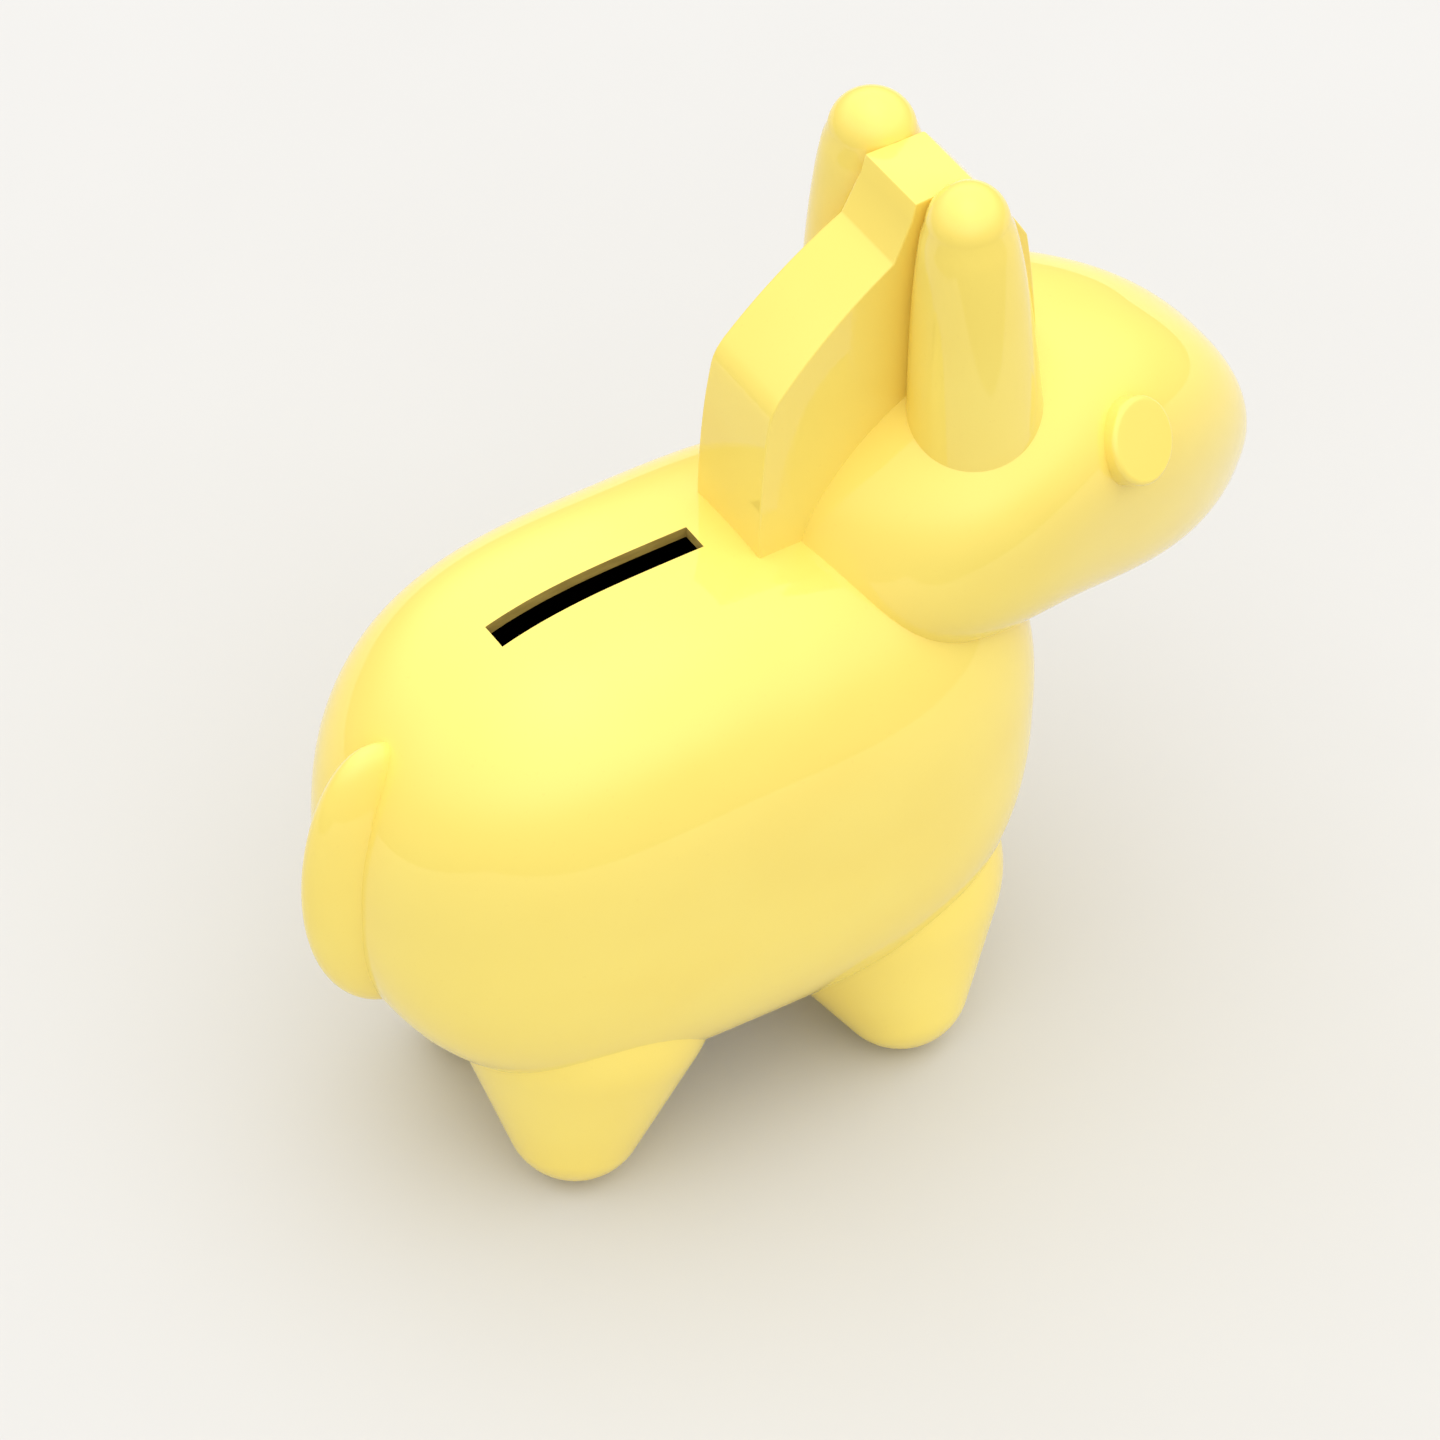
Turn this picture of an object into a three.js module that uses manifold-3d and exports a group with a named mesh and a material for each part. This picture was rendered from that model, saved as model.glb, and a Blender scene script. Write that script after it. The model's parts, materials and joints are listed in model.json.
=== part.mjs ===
// A glossy yellow plastic money bank in the shape of a small donkey: a hollow body with a coin
// slot along its back, and a head, mane, ears, eyes, tail and legs that are mouldings of their
// own, held from inside by a collar, washers and screws. A rubber stopper closes the belly.
// Millimetres, +X towards the muzzle, +Y to the animal's left, +Z up. The origin is on the
// ground under the middle of the bank, and the four feet stand on Z = 0.
import * as THREE from 'three';
import * as BufferGeometryUtils from 'three/addons/utils/BufferGeometryUtils.js';
import Module from 'manifold-3d';

const wasm = await Module();
wasm.setup();

// ------------------------------------------------------------------ driving dimensions

const GAP = 0.3; // clearance between neighbouring pieces
const WALL = 1.8; // thickness of the body's and the head's walls
const MIDDLE_X = 19.8; // the middle of the bank's length, in the frame that the sizes below use
const DEGREES = Math.PI / 180;

// A blob is a smooth rounded volume around (x, 0, z): half length a, half width b and half
// height c. lengthPower and endPower round its ends, sectionPower squares its cross-section,
// the tapers narrow it towards the front, arch bends its middle line and pitch tips it (degrees).
const BODY = {
  x: 1.7, z: 55.9, a: 55, b: 32.2, c: 40.7, lengthPower: 3.3, endPower: 0.5, sectionPower: 2.7,
  widthTaper: 0.018, heightTaper: 0.018, arch: 0, pitch: -1.4, lengthSteps: 24, roundSteps: 28,
};
const HEAD = {
  x: 60.4, z: 90.6, a: 43.4, b: 24.6, c: 22.5, lengthPower: 3.13, endPower: 0.65, sectionPower: 2.62,
  widthTaper: -0.55, heightTaper: -0.165, arch: -9.7, pitch: -19.4, lengthSteps: 20, roundSteps: 24,
};
const CAVITY_STEPS = { lengthSteps: 14, roundSteps: 16 };

const SLOT = { rear: -27.3, front: 5.2, width: 4.6 };

const MANE = { thickness: 15.0, thicknessAt: [20.5, 111], thinningForward: 0.058, thinningUp: 0.044 };
const MANE_SCREWS = { rear: 14.4, front: 45, length: 14 }; // the X of each, and their length

// root and inside: how far below its low point an ear's bar ends, and its axis is inside the head.
// An ear is a little oval, with its long way turned in towards the mane, and it bulges near its tip.
const EAR = {
  tip: [41.3, 11.8, 145.6], tipRadius: 6, low: [42.2, 12.9, 119.6], lowRadius: 8.6, root: 16, inside: 28,
  longWay: 45, longScale: 1.04, shortScale: 0.98, bulge: 0.9,
};
const EYE = {
  radius: 6.3, thickness: 2.3, edge: 0.7, depth: 3, stemRadius: 1.6, stemReach: 4.5,
  facing: [0.33, 0.81, 0.48], behind: [53.4, 0, 90.6],
};
// low and high: how deep the clip's two faces lie below the inside of the wall
const EYE_CLIP = { radius: 4.2, low: 1.8, high: 2.8, pad: 4.8 };
const TAIL = { x: -45.7, z: 58.4, depth: 13.2, halfWidth: 6.4, halfHeight: 25.1, taper: 0.15, tilt: 5 };

// Each leg is a cone between two balls, from its foot up to a wide root inside the body.
const LEGS = {
  leg_rear: { foot: [-24.6, 14.7, 9.9], footRadius: 10.3, root: [-20, 9.6, 29.5], rootRadius: 19.5 },
  leg_front: { foot: [29, 18.1, 9.8], footRadius: 10.2, root: [29.3, 8.2, 25.5], rootRadius: 20 },
};
const LEG_REACH = 60; // from the foot's ball up its axis to a point well inside the body
const LEG_WALL = 2.6;
const LEG_FLOOR = 2.5; // how far the hollow's lower ball is raised, for a thicker sole
const LEG_BOSS = 4; // radius of the post inside a leg that its screw bites into
const LEG_SCREW_LENGTH = 12;
const TAIL_SCREW_LENGTH = 6.5;
const ARCH = { x: 29, z: 7.3, radius: 8, halfLength: 30 }; // the gap between the two front legs

const NECK = {
  inner: [22.8, 0, 62.3], tilt: 36.9, bore: 7.6, tube: 10, flange: 13, flangeThickness: 2,
  seat: -6.4, reach: 8.5, chamfer: 0.8, groove: 1.1, ring: 4.9, ringThickness: 1.4, ringMouth: 6,
};
const STOPPER = {
  x: 2, hole: 12.9, boss: 15.6, bossTop: 22.7, flange: 14.4, bottom: 14.6, seat: 16.8,
  wall: 3, floor: 2.4, groove: 0.6, tabLength: 12, tabThickness: 3, tabDrop: 3,
};
const SCREW = {
  shank: 1.5, head: 3, headHeight: 1.9, length: 10, point: 1.5, washer: 4.4, washerThickness: 0.8,
};
const FAR = 90; // reach of the blocks and rods that cut pieces off, past the whole bank

const YELLOW = { color: 0xffe680, roughness: 0.25, metalness: 0 };
const STEEL = { color: 0xb9bcc0, roughness: 0.35, metalness: 1 };
const NYLON = { color: 0xe9e6da, roughness: 0.5, metalness: 0 };
const SPRING_STEEL = { color: 0x6f7478, roughness: 0.4, metalness: 1 };
const RUBBER = { color: 0xd8d2bd, roughness: 0.8, metalness: 0 };

// ------------------------------------------------------------------ solids

function solid(geometry) {
  const bare = geometry.clone();
  bare.deleteAttribute('normal');
  bare.deleteAttribute('uv');
  const merged = BufferGeometryUtils.mergeVertices(bare, 1e-4);
  return new wasm.Manifold(new wasm.Mesh({
    numProp: 3,
    vertProperties: new Float32Array(merged.attributes.position.array),
    triVerts: new Uint32Array(merged.index.array),
  }));
}

function geometryOf(shape) {
  const mesh = shape.getMesh();
  const geometry = new THREE.BufferGeometry();
  geometry.setAttribute('position', new THREE.BufferAttribute(mesh.vertProperties, 3));
  geometry.setIndex(new THREE.BufferAttribute(mesh.triVerts, 1));
  geometry.computeVertexNormals();
  return geometry;
}

// The biggest body of a shape, leaving out any crumbs that a cut has split off.
function mainBody(shape) {
  const bodies = shape.decompose();
  return bodies.reduce((best, body) => (body.volume() > best.volume() ? body : best));
}

const group = new THREE.Group();
group.position.x = -MIDDLE_X;

function addPiece(name, shape, look) {
  const mesh = new THREE.Mesh(geometryOf(mainBody(shape)), new THREE.MeshStandardMaterial(look));
  mesh.name = name;
  group.add(mesh);
}

// A round piece turned about +Z from (radius, height) points, then laid along a direction.
function turned(profile, origin, direction, segments = 16) {
  const points = profile.map(([radius, height]) => new THREE.Vector2(radius, height));
  const geometry = new THREE.LatheGeometry(points, segments);
  geometry.rotateX(Math.PI / 2); // the lathe turns about Y
  const turn = new THREE.Quaternion().setFromUnitVectors(new THREE.Vector3(0, 0, 1), direction);
  geometry.applyQuaternion(turn);
  geometry.translate(origin.x, origin.y, origin.z);
  return solid(geometry);
}

function rod(radius, from, to, origin, direction, segments = 16) {
  return turned([[0, from], [radius, from], [radius, to], [0, to]], origin, direction, segments);
}

function box(low, high) {
  const size = high.map((value, axis) => value - low[axis]);
  const geometry = new THREE.BoxGeometry(...size);
  geometry.translate(...low.map((value, axis) => value + size[axis] / 2));
  return solid(geometry);
}

// A round bar with two ball ends of different radii, from one centre to the other, that may bulge
// on its way, most of all about a third of the way down from the higher end.
function taperedBar(low, lowRadius, high, highRadius, segments = 20, arcSteps = 5, bulge = 0) {
  const length = low.distanceTo(high);
  const slope = Math.asin((lowRadius - highRadius) / length); // where the cone leaves the balls
  const profile = [];
  for (let i = 0; i <= arcSteps; i += 1) {
    const angle = -Math.PI / 2 + (slope + Math.PI / 2) * (i / arcSteps);
    profile.push([i === 0 ? 0 : lowRadius * Math.cos(angle), lowRadius * Math.sin(angle)]);
  }
  const [startRadius, startHeight] = profile[profile.length - 1];
  const endRadius = highRadius * Math.cos(slope);
  const endHeight = length + highRadius * Math.sin(slope);
  const bulgeSteps = bulge > 0 ? 8 : 0;
  for (let i = 1; i < bulgeSteps; i += 1) {
    const share = i / bulgeSteps;
    profile.push([
      startRadius + (endRadius - startRadius) * share + bulge * Math.sin(Math.PI * (1 - share) ** 0.6),
      startHeight + (endHeight - startHeight) * share,
    ]);
  }
  for (let i = 0; i <= arcSteps; i += 1) {
    const angle = slope + (Math.PI / 2 - slope) * (i / arcSteps);
    profile.push([i === arcSteps ? 0 : highRadius * Math.cos(angle), length + highRadius * Math.sin(angle)]);
  }
  return turned(profile, low, high.clone().sub(low).normalize(), segments);
}

// A shape made longer or shorter along one direction, about a point that stays where it is.
function stretched(shape, origin, direction, scale) {
  const { x, y, z } = direction;
  const extra = scale - 1;
  const stretch = new THREE.Matrix4().set(
    1 + extra * x * x, extra * x * y, extra * x * z, 0,
    extra * y * x, 1 + extra * y * y, extra * y * z, 0,
    extra * z * x, extra * z * y, 1 + extra * z * z, 0,
    0, 0, 0, 1,
  );
  const { x: ox, y: oy, z: oz } = origin;
  return shape.translate([-ox, -oy, -oz]).transform(stretch.elements).translate([ox, oy, oz]);
}

// ------------------------------------------------------------------ blobs

// The half width, half height and rise of the middle line at t, from -1 (rear) to 1 (front).
function blobSection(blob, t) {
  const round = Math.max(0, 1 - Math.abs(t) ** blob.lengthPower) ** blob.endPower;
  return {
    width: blob.b * round * (1 + blob.widthTaper * t),
    height: blob.c * round * (1 + blob.heightTaper * t),
    rise: blob.arch * t * t,
  };
}

// A point of the blob's surface, at t along it and at an angle round it from +Y.
function blobPoint(blob, t, angle) {
  const { width, height, rise } = blobSection(blob, t);
  const power = 2 / blob.sectionPower;
  const y = width * Math.sign(Math.cos(angle)) * Math.abs(Math.cos(angle)) ** power;
  const z = height * Math.sign(Math.sin(angle)) * Math.abs(Math.sin(angle)) ** power + rise;
  const tip = blob.pitch * DEGREES;
  const x = blob.a * t;
  return [
    blob.x + x * Math.cos(tip) - z * Math.sin(tip),
    y,
    blob.z + x * Math.sin(tip) + z * Math.cos(tip),
  ];
}

function grown(blob, distance, steps = {}) {
  return { ...blob, a: blob.a + distance, b: blob.b + distance, c: blob.c + distance, ...steps };
}

function blobSolid(blob) {
  const { lengthSteps, roundSteps } = blob;
  const positions = [...blobPoint(blob, -1, 0)];
  for (let i = 1; i < lengthSteps; i += 1) {
    const t = -Math.cos((Math.PI * i) / lengthSteps);
    for (let j = 0; j < roundSteps; j += 1) {
      positions.push(...blobPoint(blob, t, (2 * Math.PI * j) / roundSteps));
    }
  }
  positions.push(...blobPoint(blob, 1, 0));
  const last = positions.length / 3 - 1;
  const at = (i, j) => 1 + (i - 1) * roundSteps + (j % roundSteps);
  const index = [];
  for (let j = 0; j < roundSteps; j += 1) {
    index.push(0, at(1, j + 1), at(1, j));
    index.push(last, at(lengthSteps - 1, j), at(lengthSteps - 1, j + 1));
    for (let i = 1; i < lengthSteps - 1; i += 1) {
      index.push(at(i, j), at(i, j + 1), at(i + 1, j));
      index.push(at(i, j + 1), at(i + 1, j + 1), at(i + 1, j));
    }
  }
  const geometry = new THREE.BufferGeometry();
  geometry.setAttribute('position', new THREE.BufferAttribute(new Float32Array(positions), 3));
  geometry.setIndex(index);
  return solid(geometry);
}

// True inside the blob.
function blobHolds(blob, point) {
  const tip = blob.pitch * DEGREES;
  const dx = point.x - blob.x;
  const dz = point.z - blob.z;
  const t = (dx * Math.cos(tip) + dz * Math.sin(tip)) / blob.a;
  if (Math.abs(t) >= 1) {
    return false;
  }
  const { width, height, rise } = blobSection(blob, t);
  const z = -dx * Math.sin(tip) + dz * Math.cos(tip) - rise;
  const across = Math.abs(point.y / width) ** blob.sectionPower;
  return across + Math.abs(z / height) ** blob.sectionPower < 1;
}

// How far along a line from inside the blob its surface lies.
function distanceOut(blob, origin, direction, far = 120) {
  let inside = 0;
  let outside = far;
  while (outside - inside > 0.001) {
    const middle = (inside + outside) / 2;
    if (blobHolds(blob, origin.clone().addScaledVector(direction, middle))) {
      inside = middle;
    } else {
      outside = middle;
    }
  }
  return inside;
}

const up = new THREE.Vector3(0, 0, 1);
const stopperAxis = new THREE.Vector3(STOPPER.x, 0, 0);

const bodyVolume = blobSolid(BODY);
const bodyKeepOut = blobSolid(grown(BODY, GAP));
const bodyCavity = blobSolid(grown(BODY, -WALL, CAVITY_STEPS));
const headVolume = blobSolid(HEAD);
const headKeepOut = blobSolid(grown(HEAD, GAP));
const headCavity = blobSolid(grown(HEAD, -WALL, CAVITY_STEPS));

// ------------------------------------------------------------------ screws and washers

// A pan-head screw and its washer. The head's underside is at seat, and the shank runs along the
// direction into the piece that the screw holds.
function addScrew(name, seat, direction, length = SCREW.length, washerName = null) {
  const { shank, head, headHeight, washer, washerThickness } = SCREW;
  const profile = [
    [0, -headHeight], [head * 0.6, -headHeight], // the head's crown, in shares of its size
    [head * 0.92, -headHeight * 0.75], [head, -headHeight * 0.35],
    [head, 0], [shank, 0], [shank, length - SCREW.point], [0, length],
  ];
  addPiece(name, turned(profile, seat, direction, 12), STEEL);
  if (washerName) {
    const hole = shank + GAP;
    const ring = [
      [hole, GAP], [washer, GAP], [washer, GAP + washerThickness], [hole, GAP + washerThickness], [hole, GAP],
    ];
    addPiece(washerName, turned(ring, seat, direction), STEEL);
  }
}

// The room that a screw's shank takes in the pieces that it runs through.
function screwHole(seat, direction, length = SCREW.length) {
  return rod(SCREW.shank + GAP, -1, length + 1, seat, direction, 10);
}

// A raised round pad on the inside of a wall, with a flat top for a screw head or a washer.
function screwPad(seat, direction, underWasher) {
  const top = underWasher ? 2 * GAP + SCREW.washerThickness : GAP;
  const radius = underWasher ? SCREW.washer + 0.9 : SCREW.head + 1.2;
  return rod(radius, top, 25, seat, direction);
}

// What a screw asks of the shell that it is put in from.
function fixing(seat, direction, length, underWasher = false) {
  return { hole: screwHole(seat, direction, length), pad: screwPad(seat, direction, underWasher) };
}

// A screw seat just inside a blob's wall, on the line from a point inside it.
function seatInside(blob, origin, direction, lift) {
  const wall = distanceOut(grown(blob, -WALL), origin, direction);
  return origin.clone().addScaledVector(direction, wall - lift);
}

const WASHER_LIFT = 5; // how far a washered screw's seat stands off the wall that it slants to
const HEAD_LIFT = 2.2; // the same for a screw that runs square to its wall

// ------------------------------------------------------------------ legs

const SIDES = { left: 1, right: -1 };

// The space on the other side of the middle plane, and a margin on this side.
function beyond(side, margin) {
  const space = box([-FAR, -FAR, -FAR], [FAR, margin, FAR]);
  return side > 0 ? space : space.mirror([0, 1, 0]);
}

function archBetweenLegs(margin) {
  const start = new THREE.Vector3(ARCH.x - ARCH.halfLength, 0, ARCH.z);
  return rod(ARCH.radius + margin, 0, 2 * ARCH.halfLength, start, new THREE.Vector3(1, 0, 0), 24);
}

function addLeg(kind, sideName) {
  const side = SIDES[sideName];
  const { foot, footRadius, root, rootRadius } = LEGS[kind];
  const low = new THREE.Vector3(foot[0], side * foot[1], foot[2]);
  const high = new THREE.Vector3(root[0], side * root[1], root[2]);
  const upward = high.clone().sub(low).normalize();
  const downward = upward.clone().negate();
  const deep = low.clone().addScaledVector(upward, LEG_REACH);
  const seat = seatInside(BODY, deep, downward, WASHER_LIFT);
  const lowInside = low.clone().addScaledVector(upward, LEG_FLOOR);
  const hollow = taperedBar(lowInside, footRadius - LEG_WALL, high, rootRadius - LEG_WALL, 14, 3)
    .subtract(rod(LEG_BOSS, -LEG_BOSS, LEG_REACH, low, upward, 12))
    .subtract(beyond(side, GAP / 2 + LEG_WALL))
    .subtract(archBetweenLegs(LEG_WALL));
  const leg = taperedBar(low, footRadius, high, rootRadius)
    .subtract(hollow)
    .subtract(bodyKeepOut)
    .subtract(box([-FAR, -FAR, -FAR], [FAR, FAR, 0]))
    .subtract(beyond(side, GAP / 2))
    .subtract(archBetweenLegs(0))
    .subtract(rod(STOPPER.flange + 2 * GAP, 0, 30, stopperAxis, up, 32))
    .subtract(screwHole(seat, downward, LEG_SCREW_LENGTH));
  addPiece(`${kind}_${sideName}`, leg, YELLOW);
  addScrew(`${kind}_screw_${sideName}`, seat, downward, LEG_SCREW_LENGTH, `${kind}_washer_${sideName}`);
  return fixing(seat, downward, LEG_SCREW_LENGTH, true);
}

// ------------------------------------------------------------------ neck

const neckDirection = new THREE.Vector3(
  Math.sin(NECK.tilt * DEGREES), 0, Math.cos(NECK.tilt * DEGREES),
);
const neckInner = new THREE.Vector3(...NECK.inner);
const neckOrigin = neckInner.clone().addScaledVector(
  neckDirection,
  distanceOut(BODY, neckInner, neckDirection),
);
const neckHole = rod(NECK.tube + GAP, -14, 9, neckOrigin, neckDirection, 24);

// Flat pads round the neck hole, inside the body for the collar's flange and inside the head
// for its snap ring.
const neckPadInBody = rod(NECK.flange + 1, NECK.seat + GAP, 10, neckOrigin, neckDirection, 24);
const neckPadInHead = rod(NECK.flange + 1, -10, NECK.ring - GAP, neckOrigin, neckDirection, 24);

function addNeck() {
  const { bore, tube, flange, reach, seat, groove, chamfer, ring: ringLow, ringMouth } = NECK;
  const bottom = seat - NECK.flangeThickness;
  const ringHigh = ringLow + NECK.ringThickness;
  addPiece('neck_collar', turned([
    [bore, bottom], [flange, bottom], [flange, seat], [tube, seat],
    [tube, ringLow - GAP], [tube - groove, ringLow - GAP], [tube - groove, ringHigh + GAP],
    [tube, ringHigh + GAP], [tube, reach - chamfer], [tube - chamfer, reach], [bore, reach], [bore, bottom],
  ], neckOrigin, neckDirection, 24), NYLON);
  const inner = tube - groove + GAP;
  const outer = flange - 0.6;
  const ring = turned([
    [inner, ringLow], [outer, ringLow], [outer, ringHigh], [inner, ringHigh], [inner, ringLow],
  ], neckOrigin, neckDirection, 24);
  const mouth = box([-FAR, -ringMouth / 2, 0], [neckOrigin.x + 1, ringMouth / 2, 2 * FAR]);
  addPiece('neck_snap_ring', ring.subtract(mouth), SPRING_STEEL);
}

// ------------------------------------------------------------------ mane

// The mane's outline in X and Z: up the nape, over the step behind the ears and down the
// forelock. It runs on into the head and the body, which then cut it to length.
function maneOutline() {
  const outline = new THREE.Shape();
  outline.moveTo(10.6, 86);
  outline.lineTo(10.6, 96);
  outline.quadraticCurveTo(10.7, 110, 12.5, 119.7);
  outline.quadraticCurveTo(12.9, 121.8, 14.4, 123.5);
  outline.quadraticCurveTo(22.6, 132.4, 32.9, 138.4);
  outline.lineTo(35.8, 144.4);
  outline.lineTo(36.5, 147.2);
  outline.lineTo(45.8, 147.3);
  outline.quadraticCurveTo(51.8, 139.5, 55.3, 133);
  outline.quadraticCurveTo(56.6, 124.7, 57.5, 110);
  outline.lineTo(50, 102);
  outline.lineTo(30, 88);
  outline.closePath();
  return outline;
}

function maneVolume() {
  const geometry = new THREE.ExtrudeGeometry(maneOutline(), {
    depth: 1, steps: 1, bevelEnabled: false, curveSegments: 7,
  });
  geometry.rotateX(Math.PI / 2); // the outline's own Y becomes +Z, and its depth runs along -Y
  const position = geometry.attributes.position;
  const [middleX, middleZ] = MANE.thicknessAt;
  for (let i = 0; i < position.count; i += 1) {
    const forward = position.getX(i) - middleX;
    const above = position.getZ(i) - middleZ;
    const thickness = MANE.thickness - MANE.thinningForward * forward - MANE.thinningUp * above;
    position.setY(i, (position.getY(i) + 0.5) * thickness);
  }
  return solid(geometry);
}

const maneScrewSeats = {
  rear: seatInside(BODY, new THREE.Vector3(MANE_SCREWS.rear, 0, BODY.z), up, HEAD_LIFT),
  front: seatInside(HEAD, new THREE.Vector3(MANE_SCREWS.front, 0, HEAD.z), up, HEAD_LIFT),
};

function addMane() {
  const mane = maneVolume()
    .subtract(bodyKeepOut)
    .subtract(headKeepOut)
    .subtract(screwHole(maneScrewSeats.rear, up, MANE_SCREWS.length))
    .subtract(screwHole(maneScrewSeats.front, up, MANE_SCREWS.length));
  addPiece('mane', mane, YELLOW);
  addScrew('mane_screw_rear', maneScrewSeats.rear, up, MANE_SCREWS.length);
  addScrew('mane_screw_front', maneScrewSeats.front, up, MANE_SCREWS.length);
}

// ------------------------------------------------------------------ ears, eyes and tail

function earLayout(side) {
  const tip = new THREE.Vector3(EAR.tip[0], side * EAR.tip[1], EAR.tip[2]);
  const low = new THREE.Vector3(EAR.low[0], side * EAR.low[1], EAR.low[2]);
  const length = tip.distanceTo(low);
  const direction = tip.clone().sub(low).normalize();
  const root = low.clone().addScaledVector(direction, -EAR.root);
  const rootRadius = EAR.lowRadius + ((EAR.lowRadius - EAR.tipRadius) * EAR.root) / length;
  const deep = low.clone().addScaledVector(direction, -EAR.inside);
  const seat = seatInside(HEAD, deep, direction, HEAD_LIFT);
  return { tip, root, rootRadius, direction, seat };
}

function addEar(sideName) {
  const { tip, root, rootRadius, direction, seat } = earLayout(SIDES[sideName]);
  const maneRoom = maneVolume().translate([0, SIDES[sideName] * GAP, 0]);
  const turn = EAR.longWay * DEGREES;
  const longWay = new THREE.Vector3(Math.cos(turn), -SIDES[sideName] * Math.sin(turn), 0);
  const shortWay = longWay.clone().cross(up);
  const bar = taperedBar(root, rootRadius, tip, EAR.tipRadius, 20, 5, EAR.bulge);
  const ear = stretched(stretched(bar, tip, longWay, EAR.longScale), tip, shortWay, EAR.shortScale)
    .subtract(headKeepOut)
    .subtract(maneRoom)
    .subtract(screwHole(seat, direction));
  addPiece(`ear_${sideName}`, ear, YELLOW);
  addScrew(`ear_screw_${sideName}`, seat, direction);
  return fixing(seat, direction, SCREW.length);
}

function eyeLayout(side) {
  const [x, y, z] = EYE.facing;
  const direction = new THREE.Vector3(x, side * y, z).normalize();
  const inner = new THREE.Vector3(...EYE.behind);
  const surface = inner.clone().addScaledVector(direction, distanceOut(HEAD, inner, direction, 60));
  return { surface, direction };
}

function addEye(sideName) {
  const { surface, direction } = eyeLayout(SIDES[sideName]);
  const { radius, thickness, edge, depth, stemRadius, stemReach } = EYE;
  const stemEnd = -WALL - stemReach;
  const disc = turned([
    [0, stemEnd], [stemRadius, stemEnd], [stemRadius, -depth], [radius, -depth], [radius, thickness - edge],
    [radius - edge * 0.3, thickness - edge * 0.3], [radius - edge, thickness], [0, thickness],
  ], surface, direction, 24);
  const stem = rod(stemRadius, stemEnd, 0, surface, direction, 16);
  addPiece(`eye_${sideName}`, disc.subtract(headKeepOut).add(stem), YELLOW);
  const hole = stemRadius + GAP / 2;
  const low = -WALL - EYE_CLIP.high;
  const high = -WALL - EYE_CLIP.low;
  const clip = [
    [hole, low], [EYE_CLIP.radius, low], [EYE_CLIP.radius, high], [hole, high], [hole, low],
  ];
  addPiece(`eye_clip_${sideName}`, turned(clip, surface, direction, 20), SPRING_STEEL);
  return {
    hole: rod(stemRadius + GAP, stemEnd - 1, 1, surface, direction, 16),
    pad: rod(EYE_CLIP.pad, high + GAP, 10, surface, direction, 20),
  };
}

const rearward = new THREE.Vector3(-1, 0, 0);
const tailSeat = seatInside(BODY, new THREE.Vector3(0, 0, TAIL.z), rearward, HEAD_LIFT);

// The tail is an ellipsoid that is slimmer at its top and leans back a little, with its front
// part cut away by the body.
function addTail() {
  const geometry = new THREE.SphereGeometry(1, 24, 16);
  const position = geometry.attributes.position;
  for (let i = 0; i < position.count; i += 1) {
    const height = position.getY(i);
    const slim = 1 - TAIL.taper * height;
    position.setXYZ(
      i,
      TAIL.depth * slim * position.getX(i),
      TAIL.halfHeight * height,
      TAIL.halfWidth * slim * position.getZ(i),
    );
  }
  geometry.rotateX(Math.PI / 2); // the poles now run along Z
  geometry.rotateY(-TAIL.tilt * DEGREES);
  geometry.translate(TAIL.x, 0, TAIL.z);
  const tail = solid(geometry)
    .subtract(bodyKeepOut)
    .subtract(screwHole(tailSeat, rearward, TAIL_SCREW_LENGTH));
  addPiece('tail', tail, YELLOW);
  addScrew('tail_screw', tailSeat, rearward, TAIL_SCREW_LENGTH);
}

// ------------------------------------------------------------------ stopper

function addStopper() {
  const {
    hole, flange, bottom, seat, bossTop, wall, floor, groove, tabLength, tabThickness, tabDrop,
  } = STOPPER;
  const plug = hole - GAP;
  const inside = plug - wall;
  const stopper = turned([
    [0, bottom], [flange - 0.8, bottom], [flange, bottom + 0.8], [flange, seat - GAP], [plug, seat - GAP],
    [plug, seat + 1.4], [plug - groove, seat + 1.8], [plug - groove, seat + 2.8], [plug, seat + 3.2],
    [plug, bossTop - 1], [plug - 1, bossTop], [inside, bossTop], [inside, bottom + floor],
    [0, bottom + floor],
  ], stopperAxis, up, 32);
  const tab = box(
    [STOPPER.x - tabLength / 2, -tabThickness / 2, bottom - tabDrop],
    [STOPPER.x + tabLength / 2, tabThickness / 2, bottom + 1],
  );
  addPiece('belly_stopper', stopper.add(tab), RUBBER);
}

// ------------------------------------------------------------------ shells

// A shell's cavity, less the pads that stand on its wall.
function cavityWithPads(cavity, fixings) {
  return fixings
    .filter(({ pad }) => pad)
    .reduce((rest, { pad }) => rest.subtract(pad), cavity);
}

function drilled(shell, fixings) {
  return fixings.reduce((rest, { hole }) => rest.subtract(hole), shell);
}

function addBody(fixings) {
  const { hole, boss, bossTop, flange, seat } = STOPPER;
  const rim = rod(boss, 0, bossTop, stopperAxis, up, 32);
  const slot = box(
    [SLOT.rear, -SLOT.width / 2, BODY.z + 20],
    [SLOT.front, SLOT.width / 2, BODY.z + BODY.c + 10],
  );
  const body = bodyVolume
    .subtract(cavityWithPads(bodyCavity, fixings).subtract(rim).subtract(neckPadInBody))
    .subtract(slot)
    .subtract(neckHole)
    .subtract(rod(hole, 0, bossTop + 5, stopperAxis, up, 32))
    .subtract(rod(flange + GAP, 0, seat, stopperAxis, up, 32));
  addPiece('body_shell', drilled(body, fixings), YELLOW);
}

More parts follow.
